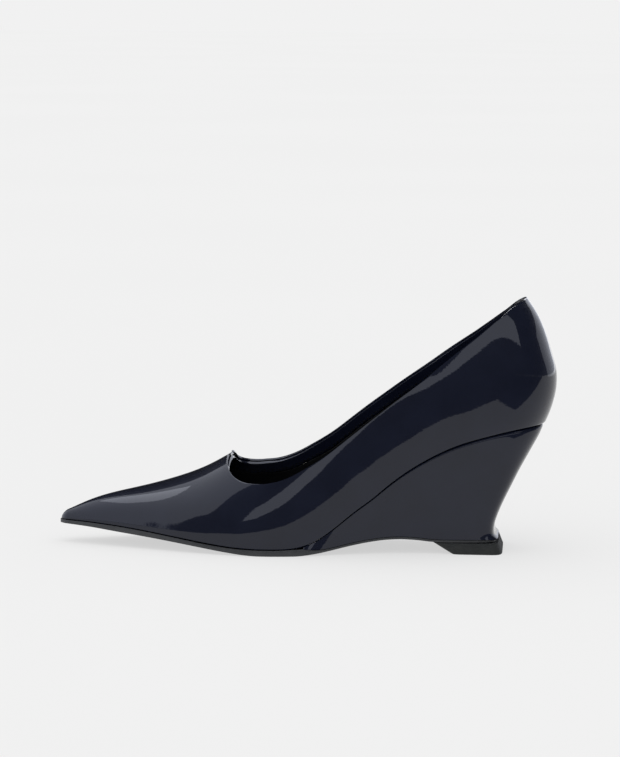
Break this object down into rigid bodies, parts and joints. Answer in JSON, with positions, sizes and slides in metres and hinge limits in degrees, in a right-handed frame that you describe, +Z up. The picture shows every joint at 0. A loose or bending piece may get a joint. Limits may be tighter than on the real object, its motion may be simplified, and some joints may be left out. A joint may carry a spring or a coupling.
{
  "type": "high heel pump",
  "caption": "Pointed-toe slip-on pump with a low-cut topline and a sculpted wedge heel that hollows in at the back and stands on a small toplift.",
  "frame": {"origin": "on the ground, under the middle of the shoe's bounding box", "axes": "+Z up, toe towards -X, outer side of this left shoe towards -Y"},
  "size_m": [0.2494, 0.076, 0.1264],
  "materials": {
    "patent_leather": "high-gloss patent coat over dark navy",
    "stiffener_board": "matte fibre sheet",
    "stay_cloth": "matte woven stay",
    "lining_leather": "smooth black, low sheen",
    "grip_suede": "black suede",
    "insole_fibreboard": "matte fibreboard",
    "shank_steel": "bright tempered steel",
    "cork_filler": "pressed cork",
    "foam_pad": "open-cell foam",
    "sock_leather": "smooth black, satin",
    "sole_leather": "dyed leather sole with a painted edge",
    "wedge_plastic": "moulded heel plastic",
    "toplift_rubber": "black tread rubber"
  },
  "bodies": {
    "root": {"upper": "patent_leather", "topline_facing": "patent_leather", "wedge_cover": "patent_leather", "toe_puff": "stiffener_board", "heel_counter": "stiffener_board", "lateral_side_stay": "stay_cloth", "medial_side_stay": "stay_cloth", "vamp_lining": "lining_leather", "lateral_quarter_lining": "lining_leather", "medial_quarter_lining": "lining_leather", "heel_grip": "grip_suede", "insole_board": "insole_fibreboard", "steel_shank": "shank_steel", "shank_rivet_front": "shank_steel", "shank_rivet_back": "shank_steel", "bottom_filler": "cork_filler", "forefoot_pad": "foam_pad", "heel_pad": "foam_pad", "sock_lining": "sock_leather", "outsole": "sole_leather", "wedge_core": "wedge_plastic", "toplift": "toplift_rubber", "toplift_pin_front": "shank_steel", "toplift_pin_back": "shank_steel", "heel_nail_front_lateral": "shank_steel", "heel_nail_front_medial": "shank_steel", "heel_nail_back_lateral": "shank_steel", "heel_nail_back_medial": "shank_steel", "heel_screw": "shank_steel"}
  },
  "joints": []
}
